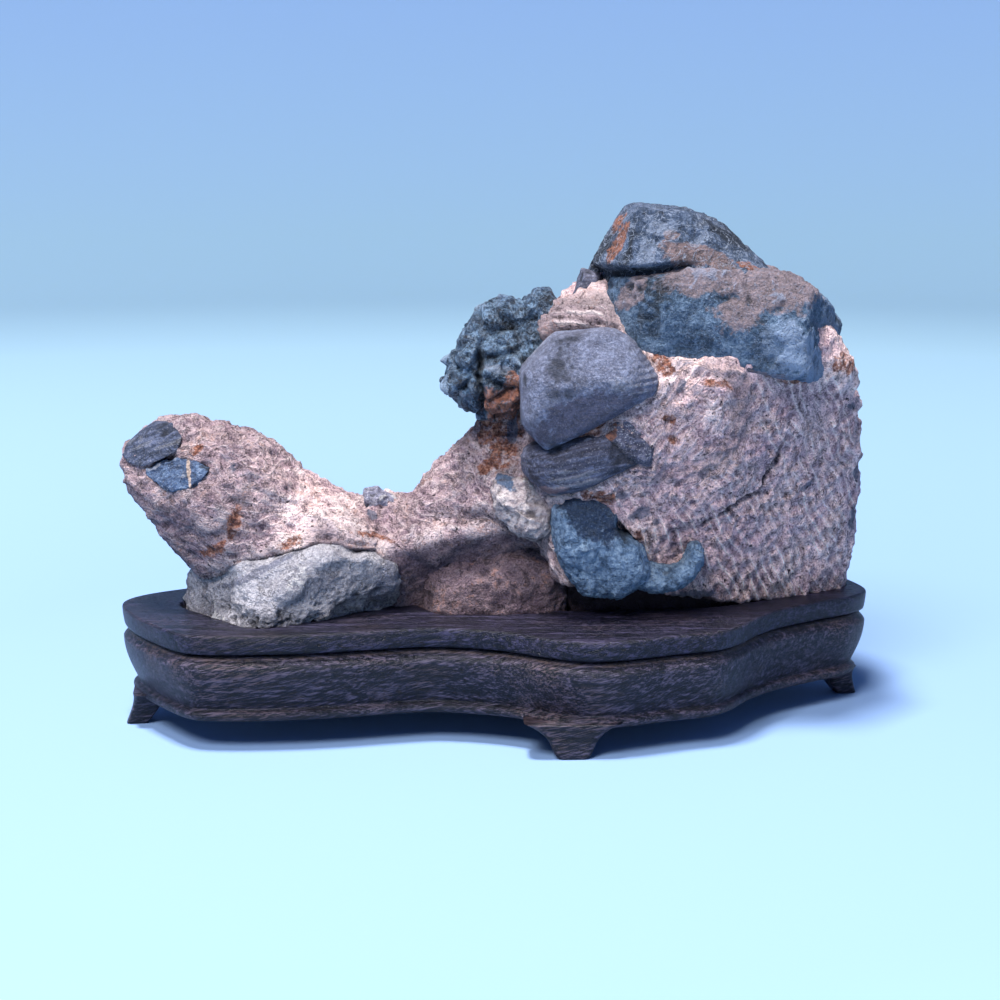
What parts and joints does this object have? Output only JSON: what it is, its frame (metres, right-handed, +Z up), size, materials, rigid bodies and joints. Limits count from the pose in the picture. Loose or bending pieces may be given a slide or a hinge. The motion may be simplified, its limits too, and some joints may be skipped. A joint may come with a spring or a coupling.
{
  "type": "scholars rock on a carved wooden stand",
  "caption": "Natural conglomerate scholars rock, a tall block and a low head joined by a saddle, seated in a lobed dark wooden stand with small carved feet.",
  "frame": {"origin": "on the surface the stand rests on, under the middle of the whole object's bounding box", "axes": "+X along the length, from the stone's low head towards its tall block; +Y from the front to the back; +Z up"},
  "size_m": [0.13, 0.0646, 0.088],
  "materials": {
    "stone": "rough gritty pinkish-tan matrix with smoother blue-grey, violet-grey and near-black clasts and rust stains",
    "wood": "dark brown open-grained hardwood, oiled to a low sheen"
  },
  "bodies": {
    "root": {"rock": "stone", "stand": "wood"}
  },
  "joints": []
}
